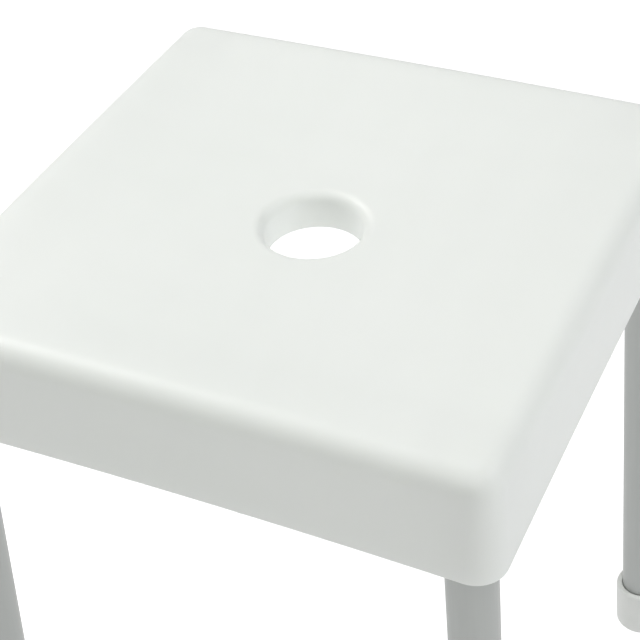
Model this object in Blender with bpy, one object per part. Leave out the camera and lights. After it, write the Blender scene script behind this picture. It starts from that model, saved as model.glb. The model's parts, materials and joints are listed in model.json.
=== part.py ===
"""Shower stool: a square moulded seat with a hand hole, on four leaning tube legs with slip-on feet.

Metres, +Z up, +Y to the back. The origin is on the floor under the middle of the seat.
"""

from math import cos, pi, radians, sin

import bmesh
import bpy
from mathutils import Matrix, Vector

# Seat: outer size at the rim, and the shape of its edges
SEAT_WIDTH = 0.323
SEAT_DEPTH = 0.324
SEAT_HEIGHT = 0.422
EDGE_BOW = 0.001
DISH_DEPTH = 0.0121
APRON_HEIGHT = 0.062
APRON_DRAFT = 0.0015
RIM_ARCH = 0.0028
CORNER_RADIUS = 0.0158
TOP_FILLET = 0.0128
WALL = 0.0027

# Hand hole in the middle of the seat
HOLE_RADIUS = 0.0263
HOLE_FILLET = 0.007
COLLAR_DEPTH = 0.022

# Ribs, gussets and leg sockets under the seat
RIB_THICKNESS = 0.0024
RIB_DEPTH = 0.009
RIB_OFFSETS = (0.0405, 0.0795, 0.1185)
GUSSET_DEPTH = 0.054
SOCKET_WALL = 0.0025
SOCKET_DEPTH = 0.0605
SOCKET_SHOULDER = 0.0065
SOCKET_CROWN = 0.0025
BORE_ROOF = 0.006
BOSS_RADIUS = 0.006
BOSS_FACE = 0.017

# Legs: the axis crosses the rim's level at (LEG_X, LEG_Y) and leans out by a share of the way down
LEG_RADIUS = 0.0127
LEG_WALL = 0.0015
LEG_X = 0.1417
LEG_Y = 0.142
LEG_SPLAY_X = 0.040
LEG_SPLAY_Y = 0.035
LEG_TOP = 0.4115

# Pieces on each leg
PLUG_FLANGE = 0.002
PLUG_LENGTH = 0.041
PLUG_CHAMFER = 0.0015
SCREW_RADIUS = 0.0019
SCREW_LEVEL = 0.3855
SCREW_TIP = 0.003
SCREW_HEAD_RADIUS = 0.004
SCREW_HEAD_HEIGHT = 0.0026
FOOT_RADIUS = 0.0169
FOOT_HEIGHT = 0.0369
FOOT_LIP_FILLET = 0.0025
FOOT_FLOOR = 0.006
SOLE_CHAMFER = 0.0012
WASHER_RADIUS = 0.0122
WASHER_HOLE = 0.004
WASHER_THICKNESS = 0.0015

GAP = 0.0003
ROUND_STEPS = 32
SMALL_ROUND_STEPS = 20
SCREW_STEPS = 12
SIDE_STEPS = 8
CORNER_STEPS = 7
FILLET_STEPS = 5
DISH_STEPS = 5

CORNER_LEVEL = SEAT_HEIGHT - EDGE_BOW
RIM_LEVEL = CORNER_LEVEL - APRON_HEIGHT
HALF_SIZES = (SEAT_WIDTH / 2, SEAT_DEPTH / 2)
TOP_INSET = APRON_DRAFT + TOP_FILLET
LIP_RADIUS = HOLE_RADIUS + HOLE_FILLET
CORNERS = {
    "front_left": (-1, -1),
    "front_right": (1, -1),
    "back_left": (-1, 1),
    "back_right": (1, 1),
}


# ---------------------------------------------------------------- scene and materials

def clear_scene():
    for item in list(bpy.data.objects):
        bpy.data.objects.remove(item)


def make_material(name, colour, roughness, metallic=0.0):
    material = bpy.data.materials.new(name)
    material.use_nodes = True
    shader = material.node_tree.nodes["Principled BSDF"]
    shader.inputs["Base Color"].default_value = (*colour, 1.0)
    shader.inputs["Roughness"].default_value = roughness
    shader.inputs["Metallic"].default_value = metallic
    return material


def add_object(name, mesh, material=None, smooth_angle=30):
    thing = bpy.data.objects.new(name, mesh)
    bpy.context.scene.collection.objects.link(thing)
    if material:
        mesh.materials.clear()
        mesh.materials.append(material)
        mesh.shade_smooth()
        mesh.set_sharp_from_angle(angle=radians(smooth_angle))
    return thing


def finish_mesh(shape, name):
    """Turns a bmesh into a mesh with its faces pointing out."""
    bmesh.ops.recalc_face_normals(shape, faces=shape.faces)
    mesh = bpy.data.meshes.new(name)
    shape.to_mesh(mesh)
    shape.free()
    return mesh


# ---------------------------------------------------------------- shape helpers

def arc(centre, radius, start, end, steps):
    """Points on an arc in a plane, angles in degrees, both ends included."""
    angles = [radians(start + (end - start) * i / steps) for i in range(steps + 1)]
    return [(centre[0] + radius * cos(a), centre[1] + radius * sin(a)) for a in angles]


def bridge(shape, lower, upper):
    """Quads between two closed rings of vertices; a ring of one vertex is a point on the axis."""
    count = max(len(lower), len(upper))
    for i in range(count):
        j = (i + 1) % count
        corners = [lower[i % len(lower)], lower[j % len(lower)], upper[j % len(upper)], upper[i % len(upper)]]
        shape.faces.new(list(dict.fromkeys(corners)))


def turned_mesh(name, profile, steps=ROUND_STEPS, is_ring=False):
    """Turns (radius, height) points about Z. A profile that isn't a ring starts and ends on the axis."""
    shape = bmesh.new()
    rings = []
    for radius, height in profile:
        if radius == 0:
            rings.append([shape.verts.new((0, 0, height))])
            continue
        angles = [2 * pi * i / steps for i in range(steps)]
        rings.append([shape.verts.new((radius * cos(a), radius * sin(a), height)) for a in angles])
    for lower, upper in zip(rings, rings[1:]):
        bridge(shape, lower, upper)
    if is_ring:
        bridge(shape, rings[-1], rings[0])
    return finish_mesh(shape, name)


def add_plate(shape, outline, axis, offset, thickness):
    """Extrudes an outline of (along, height) points to a flat plate that stands along X (0) or Y (1)."""
    sides = []
    for across in (offset - thickness / 2, offset + thickness / 2):
        points = [(along, across, z) if axis == 0 else (across, along, z) for along, z in outline]
        sides.append([shape.verts.new(point) for point in points])
    shape.faces.new(sides[0])
    shape.faces.new(sides[1])
    bridge(shape, *sides)


def top_level(x, y):
    """The seat's height at a point: dished in the middle, and a little higher half-way along its edges."""
    across = min((x / (HALF_SIZES[0] - TOP_INSET)) ** 2, 1)
    deep = min((y / (HALF_SIZES[1] - TOP_INSET)) ** 2, 1)
    return SEAT_HEIGHT - EDGE_BOW * across * deep - DISH_DEPTH * (1 - across) * (1 - deep)


def leg_point(corner, height):
    """The point of a leg's axis at a height above the floor."""
    down = RIM_LEVEL - height
    x = corner[0] * (LEG_X + LEG_SPLAY_X * down)
    y = corner[1] * (LEG_Y + LEG_SPLAY_Y * down)
    return Vector((x, y, height))


def leg_frame(corner):
    """A leg's frame: its origin on the floor, Z up the leg and X inwards, against the leg's lean."""
    foot = leg_point(corner, 0)
    up = (leg_point(corner, SEAT_HEIGHT) - foot).normalized()
    inward = Vector((up.x, up.y, 0))
    inward = (inward - inward.project(up)).normalized()
    turn = Matrix((inward, up.cross(inward), up)).transposed()
    return Matrix.Translation(foot) @ turn.to_4x4()


def add_leaning_cylinder(shape, corner, *sections):
    """A round body about a leg's axis through (radius, height) sections, cut level at both ends."""
    rings = []
    for radius, height in sections:
        centre = leg_point(corner, height)
        angles = [2 * pi * i / ROUND_STEPS for i in range(ROUND_STEPS)]
        points = [centre + Vector((radius * cos(a), radius * sin(a), 0)) for a in angles]
        rings.append([shape.verts.new(point) for point in points])
    for lower, upper in zip(rings, rings[1:]):
        bridge(shape, lower, upper)
    shape.faces.new(rings[0])
    shape.faces.new(rings[-1])


def add_cross_cylinder(shape, corner, radius, start, end):
    """A cylinder that runs across a leg along its frame's X, at the fixing screw's level."""
    middle = Matrix.Translation(((start + end) / 2, 0, SCREW_LEVEL))
    place = leg_frame(corner) @ middle @ Matrix.Rotation(pi / 2, 4, "Y")
    bmesh.ops.create_cone(
        shape,
        cap_ends=True,
        segments=SCREW_STEPS,
        radius1=radius,
        radius2=radius,
        depth=end - start,
        matrix=place,
    )


# ---------------------------------------------------------------- seat

def seat_outline():
    """Points round the seat as (corner-radius centre, outward direction, share of the rim's arch)."""
    points = []
    lengths = [half - CORNER_RADIUS for half in reversed(HALF_SIZES)]
    for quarter in range(4):
        side, following = quarter % 2, (quarter + 1) % 2
        turn = Matrix.Rotation(quarter * pi / 2, 2)
        out, along = turn @ Vector((1, 0)), turn @ Vector((0, 1))
        for i in range(SIDE_STEPS):
            share = 2 * i / SIDE_STEPS - 1
            centre = out * lengths[following] + along * lengths[side] * share
            points.append((centre, out, 1 - share * share))
        corner_centre = out * lengths[following] + along * lengths[side]
        for i in range(CORNER_STEPS):
            angle = pi / 2 * (quarter + i / CORNER_STEPS)
            points.append((corner_centre, Vector((cos(angle), sin(angle))), 0))
    return points


def edge_ring(shape, outline, inset, drop):
    """A ring of vertices parallel to the seat's outline, at a drop below the seat's top."""
    ring = []
    for centre, direction, _ in outline:
        point = centre + direction * (CORNER_RADIUS - inset)
        ring.append(shape.verts.new((*point, top_level(*point) - drop)))
    return ring


def rim_ring(shape, outline, inset):
    """A ring of vertices on the apron's lower edge, which arches up along each side."""
    ring = []
    for centre, direction, lift in outline:
        point = centre + direction * (CORNER_RADIUS - inset)
        ring.append(shape.verts.new((*point, RIM_LEVEL + RIM_ARCH * lift)))
    return ring


def hole_ring(shape, outline, radius, height):
    """A round ring of vertices about the hand hole, lined up with the seat's outline."""
    count = len(outline)
    angles = [2 * pi * (i - SIDE_STEPS / 2) / count for i in range(count)]
    return [shape.verts.new((radius * cos(a), radius * sin(a), height)) for a in angles]


def dish_ring(shape, outer, inner, share, drop):
    """A ring of vertices between the seat's edge and the hole's lip, at a drop below the seat's top."""
    points = [a.co.lerp(b.co, share) for a, b in zip(outer, inner)]
    return [shape.verts.new((x, y, top_level(x, y) - drop)) for x, y, _ in points]


def lip_arc(thickness):
    """The hole's lip in (radius, height), from the throat up to the top, at a depth in the wall."""
    centre = (LIP_RADIUS, top_level(LIP_RADIUS, 0) - HOLE_FILLET)
    return arc(centre, HOLE_FILLET - thickness, 180, 90, FILLET_STEPS)


def edge_arc(thickness):
    """The seat's top edge in (inset, drop), from the top down to the apron, at a depth in the wall."""
    return [
        (TOP_INSET - across, TOP_FILLET - up)
        for across, up in arc((0, 0), TOP_FILLET - thickness, 90, 0, FILLET_STEPS)
    ]


def skin_rings(shape, outline, thickness):
    """One side of the seat's wall, from the collar's end to the rim: the outside at no thickness."""
    collar_end = top_level(LIP_RADIUS, 0) - COLLAR_DEPTH
    rings = [hole_ring(shape, outline, HOLE_RADIUS + thickness, collar_end)]
    rings += [hole_ring(shape, outline, radius, height) for radius, height in lip_arc(thickness)]
    edge = [edge_ring(shape, outline, inset, drop) for inset, drop in edge_arc(thickness)]
    lip = rings[-1]
    for i in range(1, DISH_STEPS):
        rings.append(dish_ring(shape, lip, edge[0], i / DISH_STEPS, thickness))
    return rings + edge + [rim_ring(shape, outline, thickness)]


def seat_shell():
    """The seat's wall as one closed skin: up the hole, over the top, down the apron and back inside."""
    shape = bmesh.new()
    outline = seat_outline()
    rings = skin_rings(shape, outline, 0) + list(reversed(skin_rings(shape, outline, WALL)))
    for lower, upper in zip(rings, rings[1:] + rings[:1]):
        bridge(shape, lower, upper)
    return finish_mesh(shape, "seat")


def wall_level(axis, along, offset):
    """The height of the middle of the seat's wall at a place along an axis and an offset across it."""
    x, y = (along, offset) if axis == 0 else (offset, along)
    return top_level(x, y) - WALL / 2


def rib_top(axis, offset, start):
    """A rib's upper edge as (along, height) points, in the middle of the seat's wall out to the apron."""
    reach = HALF_SIZES[axis] - TOP_INSET
    stops = [start + (reach - start) * i / DISH_STEPS for i in range(DISH_STEPS)]
    level = wall_level(axis, reach, offset) + WALL / 2
    edge = [(HALF_SIZES[axis] - inset, level - drop) for inset, drop in edge_arc(WALL / 2)]
    return [(along, wall_level(axis, along, offset)) for along in stops] + edge


def closed_rib(axis, top, bottom):
    """A rib's outline: its upper edge, closed along its bottom."""
    return [(top[0][0], bottom), *top, (HALF_SIZES[axis] - WALL / 2, bottom)]


def ribs_along(axis):
    """Ribs along one axis: long ones from wall to wall, short ones at the collar, gussets at the sockets."""
    shape = bmesh.new()
    bottom = top_level(LIP_RADIUS, 0) - WALL - RIB_DEPTH
    gusset_bottom = SEAT_HEIGHT - GUSSET_DEPTH
    socket_middle = leg_point((1, 1), SEAT_HEIGHT - GUSSET_DEPTH / 2)
    short = lip_arc(WALL / 2)[:-1] + rib_top(axis, 0, LIP_RADIUS)
    gusset = rib_top(axis, socket_middle[1 - axis], socket_middle[axis])
    for side in (-1, 1):
        for offset in RIB_OFFSETS:
            half = rib_top(axis, offset, 0)
            mirrored = [(-along, height) for along, height in reversed(half[1:])]
            end = HALF_SIZES[axis] - WALL / 2
            outline = [(-end, bottom), *mirrored, *half, (end, bottom)]
            add_plate(shape, outline, axis, side * offset, RIB_THICKNESS)
        outline = [(side * along, height) for along, height in closed_rib(axis, short, bottom)]
        add_plate(shape, outline, axis, 0, RIB_THICKNESS)
        for far in (-1, 1):
            outline = [(far * along, height) for along, height in closed_rib(axis, gusset, gusset_bottom)]
            add_plate(shape, outline, axis, side * socket_middle[1 - axis], RIB_THICKNESS)
    return finish_mesh(shape, "ribs")


def for_each_leg(add, *sizes):
    """One mesh that holds the same shape at each leg."""
    shape = bmesh.new()
    for corner in CORNERS.values():
        add(shape, corner, *sizes)
    return finish_mesh(shape, "at_each_leg")


def make_guide(name, mesh):
    """A shape that is only used to add to another or to cut it."""
    guide = add_object(name, mesh)
    guide.hide_render = True
    guide.display_type = "WIRE"
    return guide


def apply_shapes(target, steps):
    for operation, guide in steps:
        modifier = target.modifiers.new(guide.name, "BOOLEAN")
        modifier.operation = operation
        modifier.object = guide
        modifier.solver = "EXACT"


def make_seat(material):
    seat = add_object("seat", seat_shell(), material)
    bore = LEG_RADIUS + GAP
    outer = bore + SOCKET_WALL
    socket = [
        (outer, SEAT_HEIGHT - SOCKET_DEPTH),
        (outer, SEAT_HEIGHT - SOCKET_SHOULDER),
        (outer * 0.6, SEAT_HEIGHT - SOCKET_CROWN),
    ]
    cut = [(bore, RIM_LEVEL - SOCKET_DEPTH / 2), (bore, SEAT_HEIGHT - BORE_ROOF)]
    boss = (BOSS_RADIUS, bore, BOSS_FACE)
    hole = (SCREW_RADIUS + GAP, LEG_RADIUS / 2, BOSS_FACE + GAP)
    apply_shapes(
        seat,
        [
            ("UNION", make_guide("guide_sockets", for_each_leg(add_leaning_cylinder, *socket))),
            ("UNION", make_guide("guide_ribs_x", ribs_along(0))),
            ("UNION", make_guide("guide_ribs_y", ribs_along(1))),
            ("UNION", make_guide("guide_bosses", for_each_leg(add_cross_cylinder, *boss))),
            ("DIFFERENCE", make_guide("cutter_bores", for_each_leg(add_leaning_cylinder, *cut))),
            ("DIFFERENCE", make_guide("cutter_screw_holes", for_each_leg(add_cross_cylinder, *hole))),
        ],
    )


# ---------------------------------------------------------------- pieces on each leg, in the leg's frame

def tube_mesh():
    inner = LEG_RADIUS - LEG_WALL
    bottom = FOOT_FLOOR + WASHER_THICKNESS + 2 * GAP
    profile = [(LEG_RADIUS, bottom), (LEG_RADIUS, LEG_TOP), (inner, LEG_TOP), (inner, bottom)]
    return turned_mesh("leg_tube", profile, is_ring=True)


def plug_mesh():
    """A stopper with a chamfered lower end and a flange that rests on the tube's end."""
    body = LEG_RADIUS - LEG_WALL - GAP
    nose = body - PLUG_CHAMFER
    seat_face = LEG_TOP + GAP
    end = seat_face - PLUG_LENGTH
    profile = [
        (0, end),
        (nose, end),
        (body, end + PLUG_CHAMFER),
        (body, seat_face),
        (LEG_RADIUS, seat_face),
        (LEG_RADIUS, seat_face + PLUG_FLANGE),
        (0, seat_face + PLUG_FLANGE),
    ]
    return turned_mesh("leg_plug", profile, steps=SMALL_ROUND_STEPS)


def screw_mesh():
    """A pan-head screw along X with its head towards the middle of the seat, and a square drive recess."""
    bearing = BOSS_FACE + GAP
    head_top = bearing + SCREW_HEAD_HEIGHT
    crown = SCREW_HEAD_RADIUS * 0.7
    profile = [
        (0, SCREW_TIP),
        (SCREW_RADIUS, SCREW_TIP + SCREW_RADIUS),
        (SCREW_RADIUS, bearing),
        (SCREW_HEAD_RADIUS, bearing),
        (SCREW_HEAD_RADIUS, bearing + SCREW_HEAD_HEIGHT * 0.5),
        (crown, head_top),
        (SCREW_RADIUS * 0.8, head_top),
        (SCREW_RADIUS * 0.6, head_top - SCREW_HEAD_HEIGHT * 0.5),
        (0, head_top - SCREW_HEAD_HEIGHT * 0.5),
    ]
    mesh = turned_mesh("leg_screw", profile, steps=SCREW_STEPS)
    mesh.transform(Matrix.Translation((0, 0, SCREW_LEVEL)) @ Matrix.Rotation(pi / 2, 4, "Y"))
    return mesh


def washer_mesh():
    low = FOOT_FLOOR + GAP
    high = low + WASHER_THICKNESS
    profile = [(WASHER_RADIUS, low), (WASHER_RADIUS, high), (WASHER_HOLE, high), (WASHER_HOLE, low)]
    return turned_mesh("foot_washer", profile, steps=SMALL_ROUND_STEPS, is_ring=True)


def foot_mesh():
    """A cup round the leg's lower end, cut level at the floor so that its sole lies flat."""
    bore = LEG_RADIUS + GAP
    lip_centre = (FOOT_RADIUS - FOOT_LIP_FILLET, FOOT_HEIGHT - FOOT_LIP_FILLET)
    profile = [
        (0, -FOOT_FLOOR / 2),
        (FOOT_RADIUS, -FOOT_FLOOR / 2),
        *arc(lip_centre, FOOT_LIP_FILLET, 0, 90, 3),
        (bore, FOOT_HEIGHT),
        (bore, FOOT_FLOOR),
        (0, FOOT_FLOOR),
    ]
    mesh = turned_mesh("foot", profile)
    floor_normal = leg_frame(CORNERS["back_right"]).to_3x3().transposed() @ Vector((0, 0, -1))
    shape = bmesh.new()
    shape.from_mesh(mesh)
    everything = [*shape.verts, *shape.edges, *shape.faces]
    cut = bmesh.ops.bisect_plane(
        shape,
        geom=everything,
        dist=1e-6,
        plane_co=(0, 0, 0),
        plane_no=floor_normal,
        clear_outer=True,
    )
    sole_edges = [item for item in cut["geom_cut"] if isinstance(item, bmesh.types.BMEdge)]
    bmesh.ops.contextual_create(shape, geom=sole_edges)
    bmesh.ops.bevel(
        shape,
        geom=sole_edges,
        offset=SOLE_CHAMFER,
        offset_type="OFFSET",
        segments=1,
        affect="EDGES",
        clamp_overlap=True,
    )
    bmesh.ops.recalc_face_normals(shape, faces=shape.faces)
    shape.to_mesh(mesh)
    shape.free()
    return mesh


def make_leg(name, corner, meshes, materials, cutter_mesh):
    """A leg with its plug, screw, washer and foot, all on an empty at the leg's frame."""
    frame = bpy.data.objects.new("leg_frame_" + name, None)
    bpy.context.scene.collection.objects.link(frame)
    frame.matrix_world = leg_frame(corner)
    cutter = make_guide("cutter_screw_hole_" + name, cutter_mesh)
    cutter.parent = frame
    for kind, mesh in meshes.items():
        piece = add_object(f"{kind}_{name}", mesh.copy(), materials[kind])
        piece.parent = frame
        if kind in ("leg", "leg_plug"):
            apply_shapes(piece, [("DIFFERENCE", cutter)])


def make_legs(materials):
    meshes = {
        "leg": tube_mesh(),
        "leg_plug": plug_mesh(),
        "leg_screw": screw_mesh(),
        "foot_washer": washer_mesh(),
        "foot": foot_mesh(),
    }
    hole = bmesh.new()
    start, end = SCREW_TIP - 2 * GAP, LEG_RADIUS + 2 * GAP
    place = Matrix.Translation(((start + end) / 2, 0, SCREW_LEVEL)) @ Matrix.Rotation(pi / 2, 4, "Y")
    radius = SCREW_RADIUS + GAP
    bmesh.ops.create_cone(
        hole,
        cap_ends=True,
        segments=SCREW_STEPS,
        radius1=radius,
        radius2=radius,
        depth=end - start,
        matrix=place,
    )
    cutter_mesh = finish_mesh(hole, "screw_hole")
    for name, corner in CORNERS.items():
        make_leg(name, corner, meshes, materials, cutter_mesh)


def main():
    clear_scene()
    white_plastic = make_material("white_polypropylene", (0.84, 0.85, 0.82), 0.35)
    materials = {
        "leg": make_material("grey_anodised_aluminium", (0.42, 0.44, 0.43), 0.45, 0.6),
        "leg_plug": make_material("grey_nylon", (0.30, 0.31, 0.31), 0.5),
        "leg_screw": make_material("stainless_steel", (0.60, 0.60, 0.58), 0.3, 1.0),
        "foot_washer": make_material("washer_steel", (0.55, 0.55, 0.54), 0.35, 1.0),
        "foot": make_material("white_elastomer", (0.70, 0.71, 0.68), 0.6),
    }
    make_seat(white_plastic)
    make_legs(materials)


main()
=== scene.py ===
import json
from math import cos, pi, radians, sin

import bmesh
import bpy
from mathutils import Matrix, Vector


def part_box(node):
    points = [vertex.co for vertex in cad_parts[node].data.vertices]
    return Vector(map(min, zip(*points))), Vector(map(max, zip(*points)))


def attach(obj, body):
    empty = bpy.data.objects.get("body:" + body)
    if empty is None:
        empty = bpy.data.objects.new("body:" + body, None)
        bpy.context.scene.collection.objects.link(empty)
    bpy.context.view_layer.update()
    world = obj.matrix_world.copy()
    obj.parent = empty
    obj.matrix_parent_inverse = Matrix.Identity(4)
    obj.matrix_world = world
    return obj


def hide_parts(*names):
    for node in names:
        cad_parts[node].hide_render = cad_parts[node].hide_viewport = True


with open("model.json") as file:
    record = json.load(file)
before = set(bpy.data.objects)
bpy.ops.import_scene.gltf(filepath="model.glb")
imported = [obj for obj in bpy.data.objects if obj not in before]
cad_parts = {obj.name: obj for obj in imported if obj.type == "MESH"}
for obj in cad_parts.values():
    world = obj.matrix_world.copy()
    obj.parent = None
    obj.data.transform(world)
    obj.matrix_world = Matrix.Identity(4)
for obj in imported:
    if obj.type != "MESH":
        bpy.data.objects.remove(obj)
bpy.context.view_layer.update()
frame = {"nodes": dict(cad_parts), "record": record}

# ---------------------------------------------------------------- sizes, in metres, around the CAD frame

SEAT_LOW, SEAT_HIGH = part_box("seat")
HALF_SIZES = (SEAT_HIGH.x, SEAT_HIGH.y)
SEAT_HEIGHT = SEAT_HIGH.z
RIM_LEVEL = SEAT_LOW.z
SOLES = {m["name"].removeprefix("sole_"): m["pos_m"] for m in frame["record"]["mounts"]}

# Seat: its edges, its dished top and the hand hole
EDGE_BOW = 0.001
DISH_DEPTH = 0.0121
DISH_EDGE_POWER = 7
DISH_SPACING = 1.4
APRON_DRAFT = 0.0015
RIM_ARCH = 0.0028
RIM_ROUND = 0.0009
CORNER_RADIUS = 0.0158
TOP_FILLET = 0.0128
WALL = 0.0027
HOLE_RADIUS = 0.0263
HOLE_FILLET = 0.007
COLLAR_DEPTH = 0.022
TOP_INSET = APRON_DRAFT + TOP_FILLET
LIP_RADIUS = HOLE_RADIUS + HOLE_FILLET

# Under the seat
RIB_ROOT = 0.0024
RIB_TIP = 0.0016
RIB_ROUND = 0.0004
RIB_DEPTH = 0.009
RIB_OFFSETS = (0.0405, 0.0795, 0.1185)
GUSSET_DEPTH = 0.054
SOCKET_WALL = 0.0025
SOCKET_DEPTH = 0.0605
SOCKET_ROUND = 0.0008
SOCKET_SHOULDER = 0.0065
SOCKET_CROWN = 0.0025
SOCKET_CROWN_SHARE = 0.6
BORE_ROOF = 0.006
BORE_CHAMFER = 0.0008
BOSS_RADIUS = 0.006
BOSS_FACE = 0.017

# Legs: each axis leans out by these shares of the way down, along X and along Y
LEG_SPLAY = (0.040, 0.035)
LEG_RADIUS = 0.0127
LEG_WALL = 0.0015
LEG_BOTTOM = 0.0081
LEG_TOP = 0.4115
LEG_EDGE = 0.0004

# Screws
SCREW_LEVEL = 0.3855
SCREW_RADIUS = 0.0019
SCREW_TIP = 0.003
SCREW_HEAD_RADIUS = 0.004
SCREW_HEAD_HEIGHT = 0.0026
SCREW_HEAD_ROUND = 0.00152
SCREW_HEAD_CROWN = 0.00156
RECESS_WIDTH = 0.0011
RECESS_LENGTH = 0.0042
RECESS_DEPTH = 0.0014
RECESS_TAPER = 0.55
THREAD_PITCH = 0.0012
THREAD_DEPTH = 0.0003
THREAD_VALLEY = 0.45
THREAD_CREST = 0.7

# Feet
FOOT_RADIUS = 0.01685
FOOT_HEIGHT = 0.0369
FOOT_LIP_FILLET = 0.0026
FOOT_MOUTH_ROUND = 0.0006
FOOT_FLOOR = 0.006
FOOT_WALL_START = 0.004
SOLE_ROUND = 0.0014
TREAD_RADII = (0.0045, 0.0085, 0.0125)
TREAD_WIDTH = 0.0014
TREAD_DEPTH = 0.0009
TREAD_TAPER = 0.6

# The clearance between touching pieces
GAP = 0.0003

# Steps round arcs, and rings along the pieces
SIDE_STEPS = 28
CORNER_STEPS = 12
FILLET_STEPS = 12
EDGE_STEPS = 4
LIP_STEPS = 8
RIM_STEPS = 6
DISH_STEPS = 22
APRON_STEPS = 5
THROAT_STATIONS = (0.33, 0.67)
ROUND_STEPS = 96
SOCKET_STEPS = 48
SCREW_STEPS = 32
RIB_STATIONS = 10
TUBE_STATIONS = 12
FOOT_STATIONS = 5

# Colours, linear; a pair is what a surface varies between
PLASTIC_SHADES = ((0.865, 0.89, 0.866), (0.885, 0.905, 0.884))
# the seat's lighter edge colour is a painted highlight along its top edges and corners
PLASTIC_PAINTED_HIGHLIGHT = (0.90, 0.92, 0.905)
TUBE_SHADES = ((0.455, 0.47, 0.46), (0.485, 0.50, 0.49))
RUBBER_SHADES = ((0.845, 0.86, 0.84), (0.875, 0.885, 0.87))
RUBBER_EDGE = (0.90, 0.91, 0.89)
NYLON_SHADES = ((0.27, 0.28, 0.28), (0.33, 0.34, 0.34))
SCREW_SHADES = ((0.60, 0.60, 0.588), (0.66, 0.66, 0.648))
WASHER_SHADES = ((0.55, 0.55, 0.539), (0.605, 0.605, 0.594))
STEEL_EDGE = (0.82, 0.82, 0.81)

# The mesh attribute that holds each point's place in its piece's own frame
OWN_PLACE = "own_place"

# Camera, its angles in degrees and its lens in millimetres
CAMERA_PLACE = (0.3254, -0.6200, 0.9140)
CAMERA_AZIMUTH = 28.382
CAMERA_ELEVATION = 38.653
CAMERA_ROLL = -4.968
CAMERA_LENS = 92.297
CAMERA_SHIFT = (0.0243, -0.0180)
CAMERA_SENSOR = 36.0

# Square lights that point at the seat: name, place, size, watts, colour
LIGHTS = (
    ("top_softbox", (0.0, 0.1, 2.0), 2.2, 8.3, (1.0, 1.0, 0.99)),
    ("front_softbox", (0.5, -1.2, 1.7), 1.0, 9.8, (0.98, 1.0, 0.945)),
    ("left_softbox", (-1.3, 0.2, 1.6), 1.0, 18.4, (1.0, 1.0, 0.985)),
    ("right_softbox", (1.3, 0.5, 1.6), 1.0, 9.7, (0.98, 0.99, 1.0)),
    ("right_panel", (3.2, -0.2, 1.2), 2.2, 14.9, (0.97, 0.985, 1.0)),
    ("left_panel", (-2.2, -0.4, 0.5), 1.3, 5.2, (1.0, 1.0, 1.0)),
)
LIGHT_TARGET = (0, 0, 0.42)

# Floor and surround: white to the camera, and dimmer as lights
FLOOR_SIZE = 24.0
FLOOR_GAP = 0.0001
FLOOR_SHADE = 0.35
FLOOR_ROUGHNESS = 0.9
FLOOR_SPECULAR = 0.1
FLOOR_GLOW = 0.645
SURROUND_GLOSS = 0.4


# ---------------------------------------------------------------- mesh helpers

def arc(centre, radius, start, end, steps):
    """Points on an arc in a plane, angles in degrees, both ends included."""
    angles = [radians(start + (end - start) * i / steps) for i in range(steps + 1)]
    return [(centre[0] + radius * cos(a), centre[1] + radius * sin(a)) for a in angles]


def add_verts(shape, points):
    return [shape.verts.new(point) for point in points]


def bridge(shape, lower, upper):
    """Quads between two closed rings of vertices; a ring of one vertex is a point on the axis."""
    count = max(len(lower), len(upper))
    for i in range(count):
        j = (i + 1) % count
        corners = [lower[i % len(lower)], lower[j % len(lower)]]
        corners += [upper[j % len(upper)], upper[i % len(upper)]]
        shape.faces.new(list(dict.fromkeys(corners)))


def bridge_all(shape, rings, is_loop=False):
    for lower, upper in zip(rings, rings[1:]):
        bridge(shape, lower, upper)
    if is_loop:
        bridge(shape, rings[-1], rings[0])


def bridge_capped(shape, rings):
    """Quads between the rings, and a face over each end."""
    bridge_all(shape, rings)
    shape.faces.new(rings[0])
    shape.faces.new(rings[-1])


def finish_mesh(shape, name):
    bmesh.ops.recalc_face_normals(shape, faces=shape.faces)
    mesh = bpy.data.meshes.new(name)
    shape.to_mesh(mesh)
    shape.free()
    return mesh


def circle(radius, height, steps=ROUND_STEPS):
    if radius == 0:
        return [(0, 0, height)]
    angles = [2 * pi * i / steps for i in range(steps)]
    return [(radius * cos(a), radius * sin(a), height) for a in angles]


def turned_mesh(name, profile, steps=ROUND_STEPS, is_ring=False):
    """Turns (radius, height) points about Z. A profile that isn't a ring starts and ends on the axis."""
    shape = bmesh.new()
    rings = [add_verts(shape, circle(radius, height, steps)) for radius, height in profile]
    bridge_all(shape, rings, is_ring)
    return finish_mesh(shape, name)


def add_object(name, mesh):
    thing = bpy.data.objects.new(name, mesh)
    bpy.context.scene.collection.objects.link(thing)
    return thing


def fused(name, mesh, steps):
    """The mesh left after adding and cutting away other meshes, as (operation, mesh) steps."""
    body = add_object(name, mesh)
    guides = []
    for operation, guide_mesh in steps:
        guide = add_object(name + "_guide", guide_mesh)
        guides.append(guide)
        modifier = body.modifiers.new(operation, "BOOLEAN")
        modifier.operation = operation
        modifier.object = guide
        modifier.solver = "EXACT"
    bpy.context.view_layer.update()
    evaluated = body.evaluated_get(bpy.context.evaluated_depsgraph_get())
    result = bpy.data.meshes.new_from_object(evaluated)
    for item in [body, *guides]:
        bpy.data.objects.remove(item)
    return result


def leg_matrix(name):
    """A leg's frame: its origin on the floor, Z up the leg and X inwards, against the leg's lean."""
    foot = Vector(SOLES[name])
    side = Vector((1 if foot.x > 0 else -1, 1 if foot.y > 0 else -1, 0))
    up = Vector((-LEG_SPLAY[0] * side.x, -LEG_SPLAY[1] * side.y, 1)).normalized()
    inward = Vector((up.x, up.y, 0))
    inward = (inward - inward.project(up)).normalized()
    turn = Matrix((inward, up.cross(inward), up)).transposed()
    return Matrix.Translation(foot) @ turn.to_4x4()


def screw_matrix():
    """The screw's place in a leg's frame: its axis, Z, lies along the leg frame's X."""
    return Matrix.Translation((0, 0, SCREW_LEVEL)) @ Matrix.Rotation(pi / 2, 4, "Y")


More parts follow.
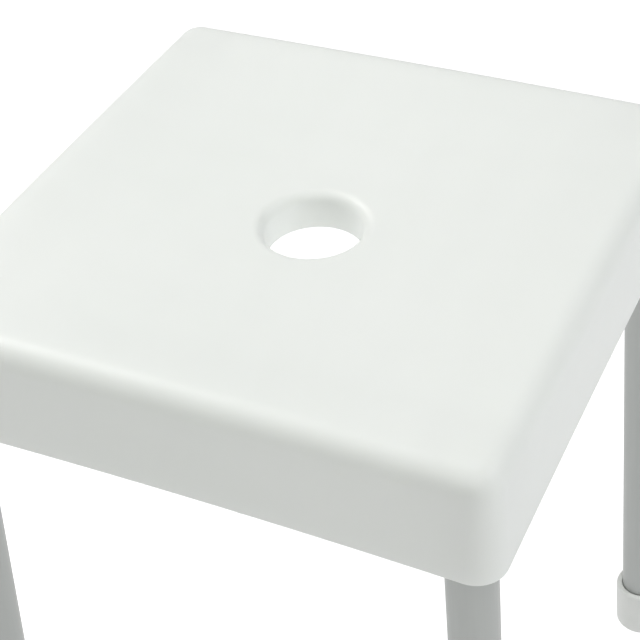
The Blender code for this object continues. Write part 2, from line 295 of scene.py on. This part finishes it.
def leg_point(name, height):
    """The point of a leg's axis at a height above the floor."""
    place = leg_matrix(name)
    up = place.to_3x3() @ Vector((0, 0, 1))
    return place.translation + up * (height / up.z)


# ---------------------------------------------------------------- seat

def flattening(share):
    """Falls from 1 in the middle of the seat to 0 at its edge, and meets the edge level."""
    square = min(share * share, 1)
    return (1 - square) * (1 - square ** DISH_EDGE_POWER)


def top_level(x, y):
    """The seat's height at a point: dished in the middle, and a little higher half-way along its edges."""
    across, deep = x / (HALF_SIZES[0] - TOP_INSET), y / (HALF_SIZES[1] - TOP_INSET)
    bow = EDGE_BOW * min(across ** 2, 1) * min(deep ** 2, 1)
    return SEAT_HEIGHT - bow - DISH_DEPTH * flattening(across) * flattening(deep)


def seat_outline():
    """Points round the seat as (corner-radius centre, outward direction, share of the rim's arch)."""
    points = []
    lengths = [half - CORNER_RADIUS for half in reversed(HALF_SIZES)]
    for quarter in range(4):
        side, following = quarter % 2, (quarter + 1) % 2
        turn = Matrix.Rotation(quarter * pi / 2, 2)
        out, along = turn @ Vector((1, 0)), turn @ Vector((0, 1))
        for i in range(SIDE_STEPS):
            share = 2 * i / SIDE_STEPS - 1
            centre = out * lengths[following] + along * lengths[side] * share
            points.append((centre, out, 1 - share * share))
        corner_centre = out * lengths[following] + along * lengths[side]
        for i in range(CORNER_STEPS):
            angle = pi / 2 * (quarter + i / CORNER_STEPS)
            points.append((corner_centre, Vector((cos(angle), sin(angle))), 0))
    return points


def lip_arc(thickness):
    """The hole's lip in (radius, height), from the throat up to the top, at a depth in the wall."""
    centre = (LIP_RADIUS, top_level(LIP_RADIUS, 0) - HOLE_FILLET)
    return arc(centre, HOLE_FILLET - thickness, 180, 90, FILLET_STEPS)


def edge_arc(thickness):
    """The seat's top edge in (inset, drop), from the top down to the apron, at a depth in the wall."""
    return [
        (TOP_INSET - across, TOP_FILLET - up)
        for across, up in arc((0, 0), TOP_FILLET - thickness, 90, 0, FILLET_STEPS)
    ]


def edge_points(outline, inset, drop):
    points = [centre + direction * (CORNER_RADIUS - inset) for centre, direction, _ in outline]
    return [(*point, top_level(*point) - drop) for point in points]


def rim_points(outline, inset, rise):
    """Points along the apron's lower edge, which arches up along each side."""
    points = []
    for centre, direction, lift in outline:
        place = centre + direction * (CORNER_RADIUS - inset)
        points.append((*place, RIM_LEVEL + RIM_ARCH * lift + rise))
    return points


def hole_points(outline, radius, height):
    """Points round the hand hole, lined up with the seat's outline."""
    count = len(outline)
    angles = [2 * pi * (i - SIDE_STEPS / 2) / count for i in range(count)]
    return [(radius * cos(a), radius * sin(a), height) for a in angles]


def between(first, second, share):
    return [Vector(a).lerp(Vector(b), share) for a, b in zip(first, second)]


def skin(outline, thickness):
    """Rings of one side of the seat's wall, from the collar's end to the rim; thickness 0 is outside."""
    collar_end = top_level(LIP_RADIUS, 0) - COLLAR_DEPTH + RIM_ROUND
    throat_end = hole_points(outline, HOLE_RADIUS + thickness, collar_end)
    lip = [hole_points(outline, radius, height) for radius, height in lip_arc(thickness)]
    edge = [edge_points(outline, inset, drop) for inset, drop in edge_arc(thickness)]
    rim = rim_points(outline, thickness, RIM_ROUND)
    dish = []
    for i in range(1, DISH_STEPS):
        share = 1 - (1 - i / DISH_STEPS) ** DISH_SPACING
        places = between(lip[-1], edge[0], share)
        dish.append([(x, y, top_level(x, y) - thickness) for x, y, _ in places])
    throat = [between(throat_end, lip[0], share) for share in THROAT_STATIONS]
    apron = [between(edge[-1], rim, i / APRON_STEPS) for i in range(1, APRON_STEPS)]
    return [throat_end, *throat, *lip, *dish, *edge, *apron, rim]


def seat_shell():
    """The seat's wall as one closed skin with a rounded rim and a rounded end to its collar."""
    outline = seat_outline()
    collar_end = top_level(LIP_RADIUS, 0) - COLLAR_DEPTH
    rim_round, collar_round = [], []
    for across, up in arc((0, 0), RIM_ROUND, 180, 360, RIM_STEPS):
        flat = WALL - 2 * RIM_ROUND if across > 0 else 0
        inset = RIM_ROUND + across + flat
        rim_round.append(rim_points(outline, inset, RIM_ROUND + up))
        collar_round.append(hole_points(outline, HOLE_RADIUS + inset, collar_end + RIM_ROUND + up))
    rings = skin(outline, 0) + rim_round[1:-1]
    rings += list(reversed(skin(outline, WALL))) + list(reversed(collar_round[1:-1]))
    shape = bmesh.new()
    bridge_all(shape, [add_verts(shape, ring) for ring in rings], is_loop=True)
    return finish_mesh(shape, "seat_shell")


def wall_middle(axis, along, offset):
    """The height of the middle of the seat's wall at a place along an axis and an offset across it."""
    x, y = (along, offset) if axis == 0 else (offset, along)
    return top_level(x, y) - WALL / 2


def rib_top(axis, offset, start):
    """A rib's upper edge as (along, height) points, in the middle of the seat's wall out to the apron."""
    reach = HALF_SIZES[axis] - TOP_INSET
    stops = [start + (reach - start) * i / RIB_STATIONS for i in range(RIB_STATIONS)]
    level = wall_middle(axis, reach, offset) + WALL / 2
    edge = [(HALF_SIZES[axis] - inset, level - drop) for inset, drop in edge_arc(WALL / 2)[::2]]
    return [(along, wall_middle(axis, along, offset)) for along in stops] + edge


def add_rib(shape, axis, offset, top, bottom, foot=None):
    """A rib that thins to a rounded lower edge: top holds (along, height) points, foot where they land."""
    rings = []
    for (along, height), low in zip(top, foot or [point[0] for point in top]):
        section = [
            (RIB_ROOT / 2, along, height),
            (RIB_TIP / 2, low, bottom + RIB_ROUND),
            (RIB_TIP / 2 - RIB_ROUND, low, bottom),
        ]
        section += [(-across, reach, level) for across, reach, level in reversed(section)]
        if axis == 0:
            points = [(reach, offset + across, level) for across, reach, level in section]
        else:
            points = [(offset + across, reach, level) for across, reach, level in section]
        rings.append(add_verts(shape, points))
    bridge_capped(shape, rings)


def ribs_along(axis):
    """Ribs along one axis: long ones from wall to wall, short ones at the collar, gussets at the sockets."""
    shape = bmesh.new()
    bottom = top_level(LIP_RADIUS, 0) - WALL - RIB_DEPTH
    gusset_bottom = SEAT_HEIGHT - GUSSET_DEPTH
    end = HALF_SIZES[axis] - WALL / 2
    socket_middle = leg_point("back_right", SEAT_HEIGHT - GUSSET_DEPTH / 2)
    short = lip_arc(WALL / 2)[:-1:2] + rib_top(axis, 0, LIP_RADIUS)
    gusset = rib_top(axis, socket_middle[1 - axis], socket_middle[axis])
    for side in (-1, 1):
        for offset in RIB_OFFSETS:
            half = rib_top(axis, side * offset, 0)
            top = [(-along, height) for along, height in reversed(half[1:])] + half
            foot = [-end, *[along for along, _ in top[1:-1]], end]
            add_rib(shape, axis, side * offset, top, bottom, foot)
        for top, low, offset in (
            (short, bottom, 0),
            (gusset, gusset_bottom, socket_middle[1 - axis]),
            (gusset, gusset_bottom, -socket_middle[1 - axis]),
        ):
            foot = [side * along for along, _ in top[:-1]] + [side * end]
            add_rib(shape, axis, offset, [(side * along, height) for along, height in top], low, foot)
    return finish_mesh(shape, "ribs")


def at_each_leg(profile):
    """The same turned (radius, height) body on each leg's axis, its rings cut level."""
    shape = bmesh.new()
    for name in SOLES:
        rings = []
        for radius, height in profile:
            centre = leg_point(name, height)
            points = [centre + Vector(point) for point in circle(radius, 0, SOCKET_STEPS)]
            rings.append(add_verts(shape, points))
        bridge_capped(shape, rings)
    return finish_mesh(shape, "at_each_leg")


def across_each_leg(profile):
    """The same turned body at each leg's screw, its axis along the leg frame's X."""
    shape = bmesh.new()
    for name in SOLES:
        place = leg_matrix(name) @ screw_matrix()
        rings = []
        for radius, height in profile:
            points = [place @ Vector(point) for point in circle(radius, height, SCREW_STEPS)]
            rings.append(add_verts(shape, points))
        bridge_capped(shape, rings)
    return finish_mesh(shape, "across_each_leg")


def seat_mesh():
    """The seat: its wall with the leg sockets, ribs and screw bosses added, and the bores cut out."""
    bore = LEG_RADIUS + GAP
    outer = bore + SOCKET_WALL
    low = SEAT_HEIGHT - SOCKET_DEPTH
    low_edge = arc((0, 0), SOCKET_ROUND, 270, 360, EDGE_STEPS)
    socket = [
        *[(outer - SOCKET_ROUND + out, low + SOCKET_ROUND + up) for out, up in low_edge],
        (outer, SEAT_HEIGHT - SOCKET_SHOULDER),
        (outer * SOCKET_CROWN_SHARE, SEAT_HEIGHT - SOCKET_CROWN),
    ]
    cut = [
        (bore + 2 * BORE_CHAMFER, low - BORE_CHAMFER),
        (bore, low + BORE_CHAMFER),
        (bore, SEAT_HEIGHT - BORE_ROOF),
    ]
    boss_end = arc((BOSS_RADIUS - SOCKET_ROUND, BOSS_FACE - SOCKET_ROUND), SOCKET_ROUND, 0, 90, EDGE_STEPS)
    boss = [(BOSS_RADIUS, bore), *boss_end]
    hole = [(SCREW_RADIUS + GAP, LEG_RADIUS / 2), (SCREW_RADIUS + GAP, BOSS_FACE + GAP)]
    return fused(
        "seat",
        seat_shell(),
        [
            ("UNION", at_each_leg(socket)),
            ("UNION", ribs_along(0)),
            ("UNION", ribs_along(1)),
            ("UNION", across_each_leg(boss)),
            ("DIFFERENCE", at_each_leg(cut)),
            ("DIFFERENCE", across_each_leg(hole)),
        ],
    )


# ---------------------------------------------------------------- pieces on each leg, in the leg's frame

def cross_hole():
    """The hole that the fixing screw makes through one wall of a tube."""
    start, end = SCREW_TIP, LEG_RADIUS + 2 * GAP
    shape = bmesh.new()
    bmesh.ops.create_cone(
        shape,
        cap_ends=True,
        segments=SCREW_STEPS,
        radius1=SCREW_RADIUS + GAP,
        radius2=SCREW_RADIUS + GAP,
        depth=end - start,
        matrix=Matrix.Translation(((start + end) / 2, 0, SCREW_LEVEL)) @ Matrix.Rotation(pi / 2, 4, "Y"),
    )
    return finish_mesh(shape, "screw_hole")


def tube_mesh():
    """A thin tube with its ends broken by a small chamfer, and a hole for the screw."""
    inner = LEG_RADIUS - LEG_WALL
    length = LEG_TOP - LEG_BOTTOM
    profile = [
        (inner + LEG_EDGE, LEG_BOTTOM),
        (LEG_RADIUS - LEG_EDGE, LEG_BOTTOM),
        (LEG_RADIUS, LEG_BOTTOM + LEG_EDGE),
        *[(LEG_RADIUS, LEG_BOTTOM + length * i / TUBE_STATIONS) for i in range(1, TUBE_STATIONS)],
        (LEG_RADIUS, LEG_TOP - LEG_EDGE),
        (LEG_RADIUS - LEG_EDGE, LEG_TOP),
        (inner + LEG_EDGE, LEG_TOP),
        (inner, LEG_TOP - LEG_EDGE),
        (inner, LEG_BOTTOM + LEG_EDGE),
    ]
    tube = turned_mesh("tube", profile, is_ring=True)
    return fused("leg_tube", tube, [("DIFFERENCE", cross_hole())])


def foot_mesh():
    """A soft cup with a rolled lip, and a level sole with ring grooves that grip a wet floor."""
    floor_normal = leg_matrix("back_right").to_3x3().transposed() @ Vector((0, 0, 1))
    bore = LEG_RADIUS + GAP
    shape = bmesh.new()

    def level_ring(radius, height):
        """A ring about the leg's axis that is level once the leg leans."""
        points = []
        for x, y, _ in circle(radius, 0):
            points.append((x, y, (height - floor_normal.x * x - floor_normal.y * y) / floor_normal.z))
        return add_verts(shape, points)

    rings = [add_verts(shape, [(0, 0, 0)])]
    half = TREAD_WIDTH / 2
    for radius in TREAD_RADII:
        for reach, height in (
            (radius - half, 0),
            (radius - half * TREAD_TAPER, TREAD_DEPTH),
            (radius + half * TREAD_TAPER, TREAD_DEPTH),
            (radius + half, 0),
        ):
            rings.append(level_ring(reach, height))
    sole_edge = arc((FOOT_RADIUS - SOLE_ROUND, SOLE_ROUND), SOLE_ROUND, 270, 360, RIM_STEPS)
    rings += [level_ring(radius, height) for radius, height in sole_edge]
    lip_centre = (FOOT_RADIUS - FOOT_LIP_FILLET, FOOT_HEIGHT - FOOT_LIP_FILLET)
    mouth_centre = (bore + FOOT_MOUTH_ROUND, FOOT_HEIGHT - FOOT_MOUTH_ROUND)
    wall = lip_centre[1] - FOOT_WALL_START
    profile = [
        *[(FOOT_RADIUS, FOOT_WALL_START + wall * i / FOOT_STATIONS) for i in range(FOOT_STATIONS)],
        *arc(lip_centre, FOOT_LIP_FILLET, 0, 90, LIP_STEPS),
        *arc(mouth_centre, FOOT_MOUTH_ROUND, 90, 180, EDGE_STEPS),
        (bore, FOOT_FLOOR),
        (0, FOOT_FLOOR),
    ]
    rings += [add_verts(shape, circle(radius, height)) for radius, height in profile]
    bridge_all(shape, rings)
    return finish_mesh(shape, "foot")


def screw_mesh():
    """A pan-head self-tapping screw along X, with a thread and a cross recess."""
    bearing = BOSS_FACE + GAP
    head_top = bearing + SCREW_HEAD_HEIGHT
    turns = int((bearing - SCREW_TIP - 2 * SCREW_RADIUS) / THREAD_PITCH)
    thread = []
    for i in range(turns):
        start = SCREW_TIP + SCREW_RADIUS + THREAD_PITCH * i
        thread += [
            (SCREW_RADIUS - THREAD_DEPTH, start),
            (SCREW_RADIUS - THREAD_DEPTH, start + THREAD_PITCH * THREAD_VALLEY),
            (SCREW_RADIUS, start + THREAD_PITCH * THREAD_CREST),
        ]
    crown_centre = (SCREW_HEAD_RADIUS - SCREW_HEAD_ROUND, head_top - SCREW_HEAD_CROWN)
    profile = [
        (0, SCREW_TIP),
        *thread,
        (SCREW_RADIUS, bearing - SCREW_RADIUS / 2),
        (SCREW_RADIUS, bearing),
        (SCREW_HEAD_RADIUS, bearing),
        *arc(crown_centre, SCREW_HEAD_ROUND, 0, 90, RIM_STEPS),
        (0, head_top),
    ]
    screw = turned_mesh("screw", profile, steps=SCREW_STEPS)
    slots = []
    for length, width in ((RECESS_LENGTH, RECESS_WIDTH), (RECESS_WIDTH, RECESS_LENGTH)):
        slot = bmesh.new()
        bmesh.ops.create_cube(slot, size=1, matrix=Matrix.Diagonal((length, width, 2 * RECESS_DEPTH, 1)))
        for vert in slot.verts:
            taper = RECESS_TAPER if vert.co.z < 0 else 1
            vert.co = Vector((vert.co.x * taper, vert.co.y * taper, vert.co.z + head_top))
        slots.append(("DIFFERENCE", finish_mesh(slot, "slot")))
    mesh = fused("leg_screw", screw, slots)
    mesh.transform(screw_matrix())
    return mesh


# ---------------------------------------------------------------- materials

class Nodes:
    """A material's node tree, with short calls for the nodes that these materials share."""

    def __init__(self, name, is_own=True):
        self.material = bpy.data.materials.new(name)
        self.material.use_nodes = True
        self.tree = self.material.node_tree
        self.shader = self.tree.nodes["Principled BSDF"]
        if is_own:
            self.place = self.add("ShaderNodeAttribute", attribute_name=OWN_PLACE).outputs["Vector"]
        else:
            self.place = self.add("ShaderNodeTexCoord").outputs["Object"]

    def add(self, kind, **values):
        node = self.tree.nodes.new(kind)
        for key, value in values.items():
            setattr(node, key, value)
        return node

    def link(self, source, target):
        self.tree.links.new(source, target)

    def noise(self, scale, detail=2.0, stretch=(1, 1, 1)):
        """A noise from 0 to 1 in the piece's own space."""
        mapping = self.add("ShaderNodeMapping")
        mapping.inputs["Scale"].default_value = stretch
        texture = self.add("ShaderNodeTexNoise")
        texture.inputs["Scale"].default_value = scale
        texture.inputs["Detail"].default_value = detail
        self.link(self.place, mapping.inputs["Vector"])
        self.link(mapping.outputs["Vector"], texture.inputs["Vector"])
        return texture.outputs["Fac"]

    def spread(self, source, low, high, start=0.3, stop=0.7):
        """Maps a value from start..stop to low..high."""
        node = self.add("ShaderNodeMapRange")
        limits = {"From Min": start, "From Max": stop, "To Min": low, "To Max": high}
        for key, value in limits.items():
            node.inputs[key].default_value = value
        self.link(source, node.inputs["Value"])
        return node.outputs["Result"]

    def blend(self, amount, first, second):
        """A colour between two; each is a colour or another node's output."""
        node = self.add("ShaderNodeMix", data_type="RGBA")
        self.link(amount, node.inputs["Factor"])
        for key, colour in ((6, first), (7, second)):
            if isinstance(colour, tuple):
                node.inputs[key].default_value = (*colour, 1)
            else:
                self.link(colour, node.inputs[key])
        return node.outputs[2]

    def edges(self, start, stop):
        """Where the surface turns sharply outwards, read from the mesh's pointiness; on the seat the lighter
        colour there is a painted highlight.
        """
        geometry = self.add("ShaderNodeNewGeometry")
        return self.spread(geometry.outputs["Pointiness"], 0, 1, start, stop)

    def bump(self, layers):
        """Stacks (height, strength, distance) layers on the shader's normal."""
        previous = None
        for height, strength, distance in layers:
            node = self.add("ShaderNodeBump")
            node.inputs["Strength"].default_value = strength
            node.inputs["Distance"].default_value = distance
            self.link(height, node.inputs["Height"])
            if previous:
                self.link(previous, node.inputs["Normal"])
            previous = node.outputs["Normal"]
        self.link(previous, self.shader.inputs["Normal"])

    def colour(self, source):
        self.link(source, self.shader.inputs["Base Color"])

    def roughness(self, source):
        self.link(source, self.shader.inputs["Roughness"])

    def set(self, **values):
        for key, value in values.items():
            self.shader.inputs[key.replace("_", " ")].default_value = value
        return self.material


def moulded_plastic():
    """Satin white polypropylene that scatters a little light, with faint flow marks, a fine grain and a
    painted highlight on its edges.
    """
    m = Nodes("moulded_white_plastic")
    flow = m.spread(m.noise(scale=7, detail=3, stretch=(1, 0.6, 1)), 0, 1)
    # painted highlight: the edges and fillets get a lighter colour that stands in for the light along the
    # seat's top edges
    lighter_edge_mask = m.edges(0.52, 0.60)
    m.colour(m.blend(lighter_edge_mask, m.blend(flow, *PLASTIC_SHADES), PLASTIC_PAINTED_HIGHLIGHT))
    m.roughness(m.spread(m.noise(scale=60, detail=4), 0.36, 0.46))
    waves = m.noise(scale=14, detail=1)
    grain = m.noise(scale=1400)
    m.bump([(waves, 0.05, 0.002), (grain, 0.10, 0.0002)])
    m.set(Subsurface_Weight=0.3, Subsurface_Scale=0.004, Subsurface_Radius=(1.0, 1.0, 0.95))
    return m.set(IOR=1.49)


def satin_metal():
    """Grey anodised aluminium tube: fine lines along its length, and soft cloudiness."""
    m = Nodes("grey_satin_tube")
    lines = m.noise(scale=900, detail=3, stretch=(1, 1, 0.02))
    cloud = m.spread(m.noise(scale=24, detail=3, stretch=(1, 1, 0.3)), 0, 1)
    m.colour(m.blend(cloud, *TUBE_SHADES))
    m.roughness(m.spread(lines, 0.30, 0.40))
    frost = m.noise(scale=2500, detail=1)
    m.bump([(lines, 0.12, 0.0001), (frost, 0.08, 0.0001)])
    return m.set(Metallic=0.6, IOR=1.45)


def soft_rubber():
    """Off-white elastomer: matt, a little cloudy, with a fine stipple."""
    m = Nodes("white_foot_rubber")
    cloud = m.spread(m.noise(scale=70, detail=3), 0, 1)
    lighter_edge_mask = m.edges(0.53, 0.62)
    m.colour(m.blend(lighter_edge_mask, m.blend(cloud, *RUBBER_SHADES), RUBBER_EDGE))
    m.roughness(m.spread(m.noise(scale=160, detail=3), 0.52, 0.68))
    m.bump([(m.noise(scale=1800), 0.18, 0.0002)])
    return m.set(IOR=1.5)


def turned_steel(name, shades, smoothest, is_own=True):
    """Plain stainless steel with fine tool marks and slightly brighter edges."""
    m = Nodes(name, is_own)
    marks = m.noise(scale=1500, detail=4, stretch=(0.15, 1, 1))
    lighter_edge_mask = m.edges(0.54, 0.66)
    m.colour(m.blend(lighter_edge_mask, m.blend(m.spread(marks, 0, 1), *shades), STEEL_EDGE))
    m.roughness(m.spread(marks, smoothest, smoothest + 0.14))
    m.bump([(marks, 0.1, 0.0001)])
    return m.set(Metallic=1.0)


def grey_nylon():
    """Grey nylon of the tube plugs, as moulded."""
    m = Nodes("grey_plug_nylon", is_own=False)
    cloud = m.spread(m.noise(scale=90, detail=3), 0, 1)
    m.colour(m.blend(cloud, *NYLON_SHADES))
    m.roughness(m.spread(m.noise(scale=200), 0.45, 0.58))
    m.bump([(m.noise(scale=1600), 0.15, 0.0002)])
    return m.set(IOR=1.53)


# ---------------------------------------------------------------- assembly

def add_piece(name, mesh, material, node, place=None, smooth_angle=32):
    """A visible piece that stands for a CAD node. Its textures follow its mesh as it was before place."""
    own_place = mesh.attributes.new(OWN_PLACE, "FLOAT_VECTOR", "POINT")
    own_place.data.foreach_set("vector", [number for vert in mesh.vertices for number in vert.co])
    if place:
        mesh.transform(place)
    mesh.materials.clear()
    mesh.materials.append(material)
    mesh.shade_smooth()
    mesh.set_sharp_from_angle(angle=radians(smooth_angle))
    piece = add_object(name, mesh)
    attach(piece, "root")
    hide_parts(node)


def carry_over(node, material):
    """Keeps a CAD node's shape and gives it a finished material."""
    mesh = frame["nodes"][node].data
    mesh.materials.clear()
    mesh.materials.append(material)


def make_stool():
    add_piece("seat_moulding", seat_mesh(), moulded_plastic(), "seat")
    screw_steel = turned_steel("screw_steel", SCREW_SHADES, 0.24)
    washer_steel = turned_steel("washer_steel", WASHER_SHADES, 0.30, is_own=False)
    nylon = grey_nylon()
    kinds = (
        ("leg", "leg_tube", tube_mesh(), satin_metal(), "leg_tube"),
        ("foot", "foot_cap", foot_mesh(), soft_rubber(), "foot"),
        ("leg_screw", "fixing_screw", screw_mesh(), screw_steel, "fixings"),
    )
    for name in SOLES:
        for node, piece, mesh, material, slot in kinds:
            add_piece(f"{piece}_{name}", mesh.copy(), material, f"{node}_{name}", leg_matrix(name))
        carry_over("leg_plug_" + name, nylon)
        carry_over("foot_washer_" + name, washer_steel)


# ---------------------------------------------------------------- studio

def make_floor():
    """A plain pale floor: the camera sees it white, and it gives the stool a softer light from below."""
    shape = bmesh.new()
    bmesh.ops.create_grid(shape, x_segments=1, y_segments=1, size=FLOOR_SIZE / 2)
    bmesh.ops.translate(shape, verts=shape.verts, vec=(0, 0, -FLOOR_GAP))
    floor = add_object("studio_floor", finish_mesh(shape, "studio_floor"))
    material = bpy.data.materials.new("pale_floor")
    material.use_nodes = True
    tree = material.node_tree
    shader = tree.nodes["Principled BSDF"]
    shader.inputs["Base Color"].default_value = (FLOOR_SHADE, FLOOR_SHADE, FLOOR_SHADE, 1)
    shader.inputs["Roughness"].default_value = FLOOR_ROUGHNESS
    shader.inputs["Specular IOR Level"].default_value = FLOOR_SPECULAR
    shader.inputs["Emission Color"].default_value = (1, 1, 1, 1)
    path = tree.nodes.new("ShaderNodeLightPath")
    glow = tree.nodes.new("ShaderNodeMapRange")
    glow.inputs["To Min"].default_value = FLOOR_GLOW
    glow.inputs["To Max"].default_value = 1
    tree.links.new(path.outputs["Is Camera Ray"], glow.inputs["Value"])
    tree.links.new(glow.outputs["Result"], shader.inputs["Emission Strength"])
    floor.data.materials.append(material)


def make_world():
    """A plain white surround that the camera sees and glossy surfaces reflect, but that lights nothing."""
    world = bpy.data.worlds.new("studio")
    world.use_nodes = True
    tree = world.node_tree
    surround = tree.nodes["Background"]
    surround.inputs["Color"].default_value = (1, 1, 1, 1)
    path = tree.nodes.new("ShaderNodeLightPath")
    strength = tree.nodes.new("ShaderNodeMath")
    strength.operation = "MULTIPLY_ADD"
    strength.inputs[1].default_value = SURROUND_GLOSS
    tree.links.new(path.outputs["Is Glossy Ray"], strength.inputs[0])
    tree.links.new(path.outputs["Is Camera Ray"], strength.inputs[2])
    tree.links.new(strength.outputs["Value"], surround.inputs["Strength"])
    bpy.context.scene.world = world


def make_lights():
    for name, place, size, watts, colour in LIGHTS:
        light = bpy.data.lights.new(name, "AREA")
        light.shape = "SQUARE"
        light.size = size
        light.energy = watts
        light.color = colour
        lamp = bpy.data.objects.new(name, light)
        bpy.context.scene.collection.objects.link(lamp)
        lamp.location = place
        aim = Vector(LIGHT_TARGET) - Vector(place)
        lamp.rotation_euler = aim.to_track_quat("-Z", "Y").to_euler()


def make_camera():
    azimuth, elevation = radians(CAMERA_AZIMUTH), radians(CAMERA_ELEVATION)
    forward = Vector((-sin(azimuth) * cos(elevation), cos(azimuth) * cos(elevation), -sin(elevation)))
    right = forward.cross(Vector((0, 0, 1))).normalized()
    roll = Matrix.Rotation(radians(CAMERA_ROLL), 3, "Z")
    turn = Matrix((right, right.cross(forward), -forward)).transposed() @ roll
    data = bpy.data.cameras.new("camera")
    data.lens = CAMERA_LENS
    data.sensor_width = CAMERA_SENSOR
    data.shift_x, data.shift_y = CAMERA_SHIFT
    camera = bpy.data.objects.new("camera", data)
    bpy.context.scene.collection.objects.link(camera)
    camera.matrix_world = Matrix.Translation(CAMERA_PLACE) @ turn.to_4x4()
    bpy.context.scene.camera = camera


make_camera()
make_world()
make_lights()
make_floor()
make_stool()
bpy.context.scene.view_settings.view_transform = "Standard"

bpy.context.view_layer.update()
